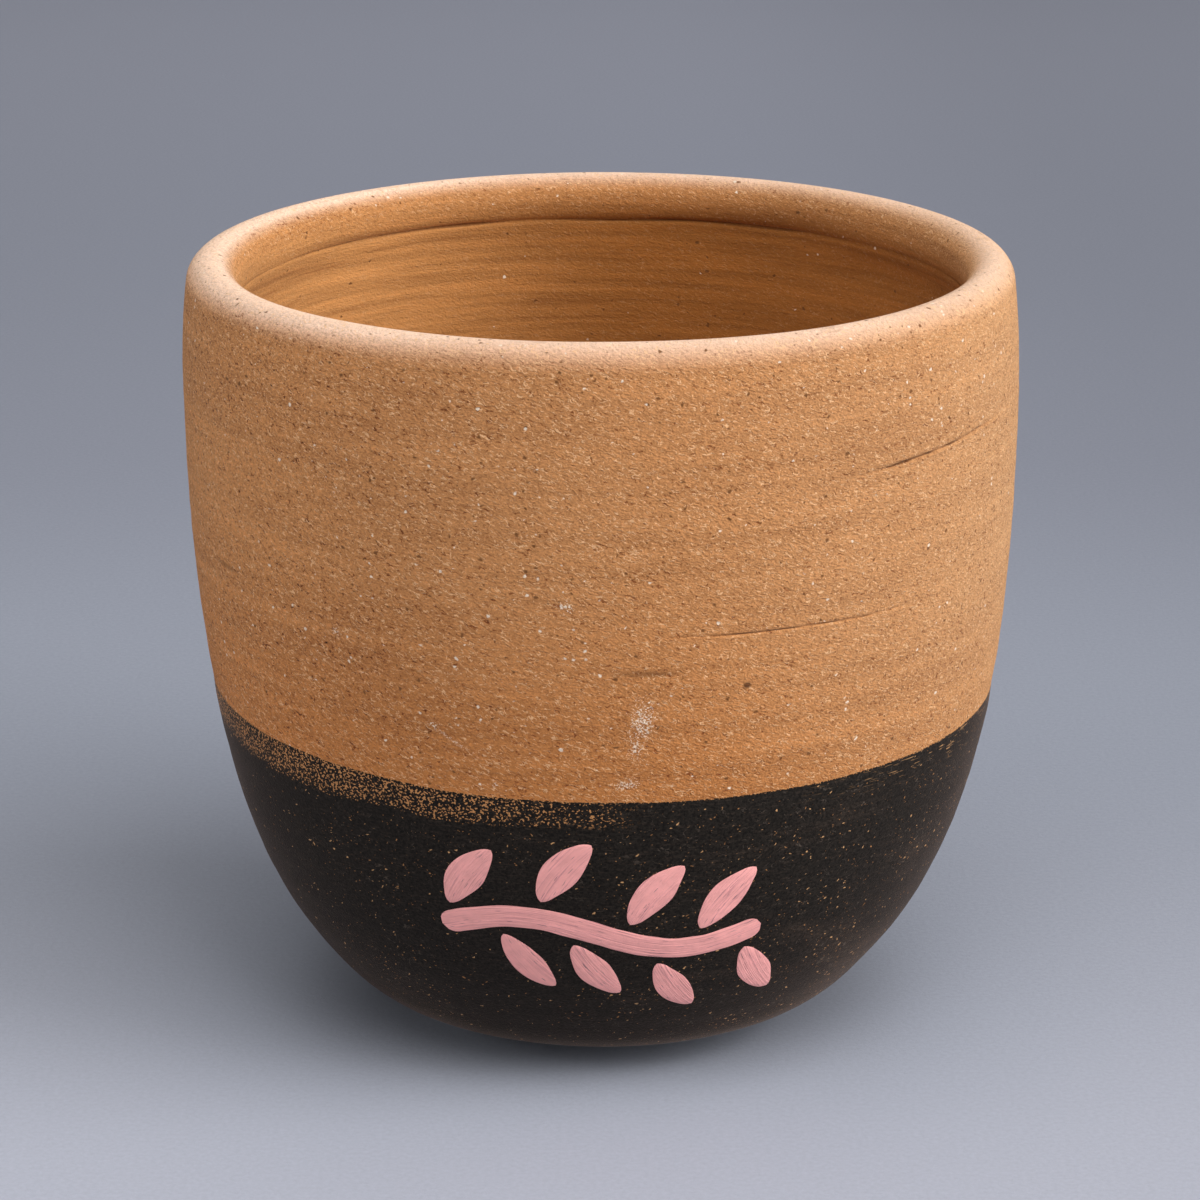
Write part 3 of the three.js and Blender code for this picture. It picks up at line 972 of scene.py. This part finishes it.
def build_coat_material(colours):
    """Matte black paint: bared grains, a dry-brushed band under its edge on the left, rubbed places, and a
    painted sheen that makes it browner and paler towards the lit right.
    """
    material, shader, place = new_material("black_slip")
    below = attribute(place, "below_line") * (1 / MM)
    across, height_up = place.axis("X"), place.axis("Z")
    strayed = drifted(place, 0.6, 0.7)
    grain = place.speckle((0.23, 0.23, 0.19), 2.0, 0.65)
    fine = place.speckle((0.34, 0.34, 0.28), 2.0, 0.75)
    patches = place.speckle((15, 15, 8), 2.0)
    streaks = place.speckle((26, 26, 1.2), 3.0, 0.6)
    clusters = place.speckle((4, 4, 2.4), 2.0).between(0.44, 0.66)
    wear_and_sheen = patches.between(0.42, 0.70) * 0.6 + height_up.between(*WORN_LOW) * 0.2
    # Wear, and a painted sheen: the black is rubbed browner, with more bared specks, towards the lit right
    wear_and_sheen = wear_and_sheen + across.between(*WEAR_AND_SHEEN_RIGHT) * 0.5
    brushed = turned(strayed, -30, (1, 1, 1))
    specks = brushed.grains((0.75, 1.00, 0.38), 0.10, 0.28, (0.24 + 0.60 * wear_and_sheen) * (0.25 + clusters))
    dust = (brushed + DUST_SHIFT).grains((0.42, 0.42, 0.26), 0.12, 0.32, 0.10 + 0.50 * wear_and_sheen)
    scuffs = place.speckle((1.8, 1.8, 0.17), 2.0, 0.6)
    hairs = strayed.strokes((1.2, 1.2, 0.8), 0.016, 0.54)

    left = (across + (patches - 0.5) * 14).between(*BAND_LEFT)
    dots = place.speckle((0.26, 0.26, 0.22), 1.0)
    band = (below + (patches - 0.5) * 2.4).between(*BAND_BELOW) * left
    stipple = (dots + band * 0.08).between(0.625, 0.655) * band.between(0.0, 0.10)
    stipple = stipple * (below + (dots - 0.5) * 1.2).between(0.12, 0.24)
    edge = (below + (grain - 0.5) * 0.9).between(0.04, -0.04)
    # Rubbed places, and towards the right a painted sheen, take the brown
    rubbed = (streaks * wear_and_sheen).between(0.30, 0.85) * 0.5 + scuffs.between(0.52, 0.74) * 0.25

    clay = stipple.blend(colours.clay, colours.clay_grain) * (0.6 + 0.8 * fine)
    black = rubbed.blend(colours.black, colours.worn_black) * (0.3 + 1.4 * fine.between(0.25, 0.75))
    black = (hairs * (0.15 + 0.50 * wear_and_sheen)).blend(black, colours.scratch)
    dashes = (place.speckle((2.2, 2.2, 0.15), 2.0) + below.between(3.5, 0.0) * 0.06).between(0.67, 0.73)
    dashes = dashes * across.between(*DASHES_RIGHT) * below.between(*DASHES_BELOW)
    layers = (
        (dust * 0.60, clay),
        (specks * 0.9 + dashes * 0.6, colours.bared_clay),
        (stipple * 0.95, clay),
        (edge, clay),
    )
    colour = layered(black, layers)
    height = fine * 0.03 + grain * 0.05 - specks * 0.03
    roughness = 0.62 + 0.25 * fine
    constants = {
        "Specular IOR Level": 0.09,
        "Sheen Weight": 0.20,
        "Sheen Roughness": 0.3,
        "Sheen Tint": (1.0, 0.73, 0.62, 1),
    }
    finish_shader(shader, colour, roughness, height, constants)
    return material


def build_pink_material(colours):
    """Opaque pink paint with the streaks of the brush's hairs, and a few gaps where the hairs skipped."""
    material, shader, place = new_material("brushed_pink")
    along = place.node("ShaderNodeUVMap", {"uv_map": "stroke"}, {}) * (1 / MM)
    hairs = along.speckle((6, 0.20, 1), 3.0, 0.6)
    wide = along.speckle((9, 0.9, 1), 2.0)
    skips = along.speckle((2.0, 0.16, 1), 1.0)
    blots = place.speckle((1.4, 1.4, 1.1), 3.0)
    thin = hairs.between(0.48, 0.70) * (0.35 + wide.between(0.42, 0.60))
    colour = (thin * 0.55).blend(colours.pink, colours.pink_shade) * (0.70 + 0.30 * wide + 0.30 * blots)
    colour = ((skips + wide * 0.3).between(0.84, 0.90) * 0.8).blend(colour, colours.pink_gap)
    height = hairs * 0.16 + blots * 0.10
    roughness = 0.45 + 0.25 * hairs
    finish_shader(shader, colour, roughness, height, {"Specular IOR Level": 0.35})
    return material


def build_floor_material(studio):
    """Plain pale studio paper with a faint grain, and painted light and shade: a little darker further
    back, lighter again far behind, and darker to the right.
    """
    material, shader, place = new_material("studio_paper")
    back = place.axis("Y")
    fibres = place.speckle((0.6, 0.6, 0.6), 4.0, 0.75)
    layers = (
        (back.between(*FLOOR_BACK), studio.floor_back),
        (back.between(*FLOOR_FAR), studio.floor_far),
    )
    colour = layered(back.between(*FLOOR_MIDDLE).blend(studio.floor, studio.floor_middle), layers)
    # Painted shade: darker to the right
    colour = colour * (0.84 + 0.32 * fibres) * (1 - 0.12 * place.axis("X").between(*FLOOR_RIGHT_SHADE))
    finish_shader(shader, colour, 0.85 + 0.1 * fibres, fibres * 0.05, {"Specular IOR Level": 0.2})
    return material


# Brush strokes


def lay_stroke(name, surface, path, widths, steps, seed):
    """A brush stroke along a path on the front of the coat, given across and up from the vine's middle."""
    paint = surface.paint
    grid = bpy.ops.mesh.primitive_grid_add
    piece = start_piece(grid, name, x_subdivisions=steps[0], y_subdivisions=steps[1], size=1)
    flat = vertices(piece.data)
    share = flat[:, 0] + 0.5
    aside = flat[:, 1] * 2
    from_end = np.minimum(share, 1 - share)
    ends = smoothstep(0, END_SHARE, from_end)
    ahead = path(np.clip(share + PATH_STEP, 0, 1)) - path(np.clip(share - PATH_STEP, 0, 1))
    ahead /= np.linalg.norm(ahead, axis=1)[:, None]
    run = share * np.linalg.norm(path(np.array([1.0])) - path(np.array([0.0])))
    own = np.full_like(run, seed)
    edge = wander(np.stack((run / EDGE_RUN, np.sign(aside), own), 1), 1, seed=11)
    across = aside * (widths(share) / 2 + ends * EDGE_STRAY * edge)
    layout = path(share) + np.stack((-ahead[:, 1], ahead[:, 0]), 1) * across[:, None]
    hairs = wander(np.stack((run / HAIR_RUN, across / HAIR_GAP, own), 1), 1, seed=12)
    crown = (1 - np.abs(aside) ** CROWN_POWER) * smoothstep(0, TIP_SHARE, from_end)
    lift = paint.stroke_edge + (paint.stroke_lift - paint.stroke_edge) * crown * (0.6 + 0.4 * ends)
    lift = lift + paint.stroke_ridge * hairs * crown
    travel = surface.travel_at_height(paint.vine_height)
    radius = surface.section(travel)[0]
    points, _ = surface.place(layout[:, 0] / radius, travel + layout[:, 1], paint.coat_lift + lift)
    move_vertices(piece.data, points)
    layer = piece.data.uv_layers[0]
    layer.name = "stroke"
    corners = np.zeros(len(piece.data.loops), np.int32)
    piece.data.loops.foreach_get("vertex_index", corners)
    places = np.stack((run + seed * MAP_GAP, across), 1)[corners]
    layer.uv.foreach_set("vector", places.astype(np.float32).ravel())
    with editing(piece):
        close_skin()
    apply_modifier(piece, "SOLIDIFY", thickness=paint.stroke_skin, offset=-1)
    return piece


def stem_point(paint, share):
    """Places along the stem, as distances across and up from the vine's middle."""
    return np.stack(((share - 0.5) * paint.vine_length, paint.vine_wave * np.sin(math.tau * share)), 1)


def stem_widths(paint, share):
    """The stem's width with round tips."""
    from_tip = np.minimum(share, 1 - share) * paint.vine_length
    return paint.stem_width * rounded(from_tip, paint.stem_width / 2)


def rounded(from_tip, radius):
    """Grows from 0 at a stroke's tip to 1, as the width of a round end does."""
    grown = np.minimum(1, from_tip / radius)
    return np.sqrt(1 - (1 - grown) ** 2)


def leaf_path(paint, index):
    """The path of one leaf. Leaves grow from the two sides of the stem by turns."""
    share = np.array([(index + 0.5) / len(LEAF_NODES)])
    side = 1 if index % 2 == 0 else -1
    root = Vector(stem_point(paint, share)[0])
    ahead = stem_point(paint, share + PATH_STEP) - stem_point(paint, share - PATH_STEP)
    ahead = Vector(ahead[0]).normalized()
    clear = paint.stem_width / 2 + paint.leaf_gap + paint.leaf_tip / 2
    root += Vector((-ahead.y, ahead.x)) * side * clear
    middle = reach(root, paint.leaf_length / 2, side * paint.leaf_angle)
    tip = reach(middle, paint.leaf_length / 2, side * (paint.leaf_angle - paint.leaf_curl))
    corners = [np.array(point) for point in (root, middle, tip)]

    def path(share):
        share = share[:, None]
        return corners[0] * (1 - share) ** 2 + corners[1] * 2 * share * (1 - share) + corners[2] * share**2

    return path


def leaf_widths(paint, share):
    """A leaf's width, from its tip to its middle and back."""
    from_tip = np.minimum(share, 1 - share) * paint.leaf_length
    width = paint.leaf_tip + (paint.leaf_width - paint.leaf_tip) * np.sin(math.pi * share)
    return width * rounded(from_tip, paint.leaf_tip)


# Operators


def cup_surface(scene):
    """The cup's surface for the sizes that are set in a scene."""
    return CupSurface(scene.clay_cup_sizes, scene.clay_cup_paint)


def angles_round(mesh):
    """Each vertex's angle round from the front."""
    places = vertices(mesh)
    return np.arctan2(places[:, 0], -places[:, 1])


class ThrowClay(bpy.types.Operator):
    """Throws the clay cup: draws its section, spins it and gives it the marks of the hand"""

    bl_idname = "clay_cup.throw_clay"
    bl_label = "Throw the Clay"

    def execute(self, context):
        surface = cup_surface(context.scene)
        rows = surface.rows()
        radius, height, _, _ = surface.section(rows)
        piece = draw_line("clay_cup", [Vector((0, -out, up)) for out, up in zip(radius, height)])
        keep_numbers(piece.data, "travel", rows)
        spin_round(piece)
        mesh = piece.data
        angle = angles_round(mesh)
        travel = surface.follow_line(angle, numbers(mesh, "travel"))
        points, dark = surface.place(angle, travel)
        move_vertices(mesh, points)
        keep_numbers(mesh, "inside", surface.inside(travel))
        keep_numbers(mesh, "dark", dark)
        keep_numbers(mesh, "dust", surface.dust(travel))
        material = build_clay_material(surface, context.scene.clay_cup_colours)
        hand_over(piece, CLAY_NODE, material)
        return {"FINISHED"}


class BrushCoat(bpy.types.Operator):
    """Brushes the black coat on the bowl: copies the clay's skin there and lifts it off"""

    bl_idname = "clay_cup.brush_coat"
    bl_label = "Brush the Black Coat"

    def execute(self, context):
        surface = cup_surface(context.scene)
        paint = surface.paint
        clay = bpy.data.objects.get("clay_cup")
        if clay is None:
            raise RuntimeError("the black coat needs the clay cup under it")
        travel = numbers(clay.data, "travel")
        slack = ROW_MARK / 4
        painted = (travel > paint.coat_start - slack) & (travel < surface.paint_line + slack)
        with editing(clay):
            bpy.ops.mesh.select_mode(type="FACE")
            bpy.ops.mesh.select_all(action="DESELECT")
        for face in clay.data.polygons:
            face.select = all(painted[index] for index in face.vertices)
        bpy.ops.object.mode_set(mode="EDIT")
        bpy.ops.mesh.duplicate()
        bpy.ops.mesh.separate(type="SELECTED")
        bpy.ops.object.mode_set(mode="OBJECT")
        piece = next(found for found in context.selected_objects if found != clay)
        piece.name = piece.data.name = "coat_black"
        mesh = piece.data
        angle = angles_round(mesh)
        travel = numbers(mesh, "travel")
        from_edge = np.minimum(surface.paint_line - travel, travel - paint.coat_start)
        grown = smoothstep(0, paint.coat_taper, from_edge)
        lift = paint.coat_edge + (paint.coat_lift - paint.coat_edge) * grown
        points, _ = surface.place(angle, surface.follow_line(angle, travel), lift)
        move_vertices(mesh, points)
        keep_numbers(mesh, "below_line", surface.paint_line - travel)
        apply_modifier(piece, "SOLIDIFY", thickness=paint.coat_skin, offset=-1)
        material = build_coat_material(context.scene.clay_cup_colours)
        hand_over(piece, COAT_NODE, material)
        return {"FINISHED"}


class BrushStem(bpy.types.Operator):
    """Brushes the vine's stem on the front of the black coat"""

    bl_idname = "clay_cup.brush_stem"
    bl_label = "Brush the Stem"

    def execute(self, context):
        surface = cup_surface(context.scene)
        paint = surface.paint
        piece = lay_stroke(
            "stem_stroke",
            surface,
            lambda share: stem_point(paint, share),
            lambda share: stem_widths(paint, share),
            STEM_STEPS,
            seed=0,
        )
        material = build_pink_material(context.scene.clay_cup_colours)
        hand_over(piece, STEM_NODE, material)
        return {"FINISHED"}


class BrushLeaves(bpy.types.Operator):
    """Brushes the vine's leaves, each with one dab"""

    bl_idname = "clay_cup.brush_leaves"
    bl_label = "Brush the Leaves"

    def execute(self, context):
        surface = cup_surface(context.scene)
        paint = surface.paint
        material = bpy.data.materials.get("brushed_pink")
        if material is None:
            raise RuntimeError("the leaves need the stem's paint")
        for index, node in enumerate(LEAF_NODES):
            piece = lay_stroke(
                f"dab_{node}",
                surface,
                leaf_path(paint, index),
                lambda share: leaf_widths(paint, share),
                LEAF_STEPS,
                seed=index + 1,
            )
            hand_over(piece, node, material)
        return {"FINISHED"}


class SetStage(bpy.types.Operator):
    """Sets the pale floor, the soft lamps and the camera"""

    bl_idname = "clay_cup.set_stage"
    bl_label = "Set the Stage"

    def execute(self, context):
        scene = context.scene
        studio = scene.clay_cup_studio
        circle = bpy.ops.mesh.primitive_circle_add
        floor = start_piece(
            circle, "studio_floor", vertices=FLOOR_SIDES, radius=FLOOR_RADIUS, fill_type="NGON"
        )
        angles = [step / BEND_STEPS * math.pi / 2 for step in range(BEND_STEPS + 1)]
        with editing(floor):
            bpy.ops.mesh.select_mode(type="EDGE")
            for before, after in zip(angles, angles[1:]):
                inner, outer = (FLOOR_RADIUS + FLOOR_BEND * math.sin(angle) for angle in (before, after))
                grow = outer / inner
                rise = FLOOR_BEND * (math.cos(before) - math.cos(after))
                bpy.ops.mesh.select_all(action="DESELECT")
                bpy.ops.mesh.select_non_manifold(use_wire=False, use_boundary=True, use_multi_face=False)
                bpy.ops.mesh.extrude_edges_move(TRANSFORM_OT_translate={"value": (0, 0, rise)})
                bpy.ops.transform.resize(value=(grow, grow, 1), center_override=(0, 0, 0))
        bpy.ops.object.shade_smooth_by_angle(angle=BEND_SMOOTH)
        floor.data.materials.append(build_floor_material(studio))

        aim = Vector((0, 0, clay_top.z / 2))
        for lamp in LAMPS:
            self.add_lamp(lamp, getattr(studio, lamp.name), aim)
        world = bpy.data.worlds.new("studio_air")
        world.use_nodes = True
        background = world.node_tree.nodes["Background"]
        background.inputs["Color"].default_value = (1, 1, 1, 1)
        background.inputs["Strength"].default_value = studio.ambient
        scene.world = world
        scene.view_settings.view_transform = "Standard"

        camera = bpy.data.cameras.new("camera")
        camera.sensor_width = SENSOR_WIDTH
        camera.lens = studio.lens
        stand = bpy.data.objects.new("camera", camera)
        stand.location = (-studio.camera_aside, -studio.camera_distance, studio.camera_height)
        stand.rotation_euler = (math.pi / 2 - studio.camera_pitch, 0, 0)
        scene.collection.objects.link(stand)
        scene.camera = stand
        return {"FINISHED"}

    def add_lamp(self, lamp, power, aim):
        """A square soft lamp that looks at a point."""
        turn, rise = math.radians(lamp.turn), math.radians(lamp.rise)
        level_way = Vector((math.sin(turn), -math.cos(turn), 0)) * math.cos(rise)
        place = aim + LAMP_DISTANCE * (level_way + Vector((0, 0, math.sin(rise))))
        light = bpy.data.lights.new(lamp.name, "AREA")
        light.energy = power
        light.size = LAMP_SIZE
        holder = bpy.data.objects.new(lamp.name, light)
        holder.location = place
        holder.rotation_euler = (aim - place).to_track_quat("-Z", "Y").to_euler()
        bpy.context.scene.collection.objects.link(holder)


OPERATORS = (ThrowClay, BrushCoat, BrushStem, BrushLeaves, SetStage)
GROUPS = {
    "clay_cup_sizes": ClayCupSizes,
    "clay_cup_paint": PaintSizes,
    "clay_cup_colours": CupColours,
    "clay_cup_studio": StudioSettings,
}


class ClayCupPanel(bpy.types.Panel):
    """The cup's sizes, colours and steps"""

    bl_idname = "VIEW3D_PT_clay_cup"
    bl_label = "Clay Cup"
    bl_space_type = "VIEW_3D"
    bl_region_type = "UI"
    bl_category = "Clay Cup"

    def draw(self, context):
        for holder, group in GROUPS.items():
            box = self.layout.box()
            for name in group.__annotations__:
                box.prop(getattr(context.scene, holder), name)
        for operator in OPERATORS:
            self.layout.operator(operator.bl_idname)


def register():
    for made in (*GROUPS.values(), *OPERATORS, ClayCupPanel):
        bpy.utils.register_class(made)
    for holder, group in GROUPS.items():
        setattr(bpy.types.Scene, holder, PointerProperty(type=group))


def unregister():
    for holder in GROUPS:
        delattr(bpy.types.Scene, holder)
    for made in reversed((*GROUPS.values(), *OPERATORS, ClayCupPanel)):
        bpy.utils.unregister_class(made)


def main():
    register()
    bpy.ops.clay_cup.throw_clay()
    bpy.ops.clay_cup.brush_coat()
    bpy.ops.clay_cup.brush_stem()
    bpy.ops.clay_cup.brush_leaves()
    bpy.ops.clay_cup.set_stage()


if __name__ == "__main__":
    main()
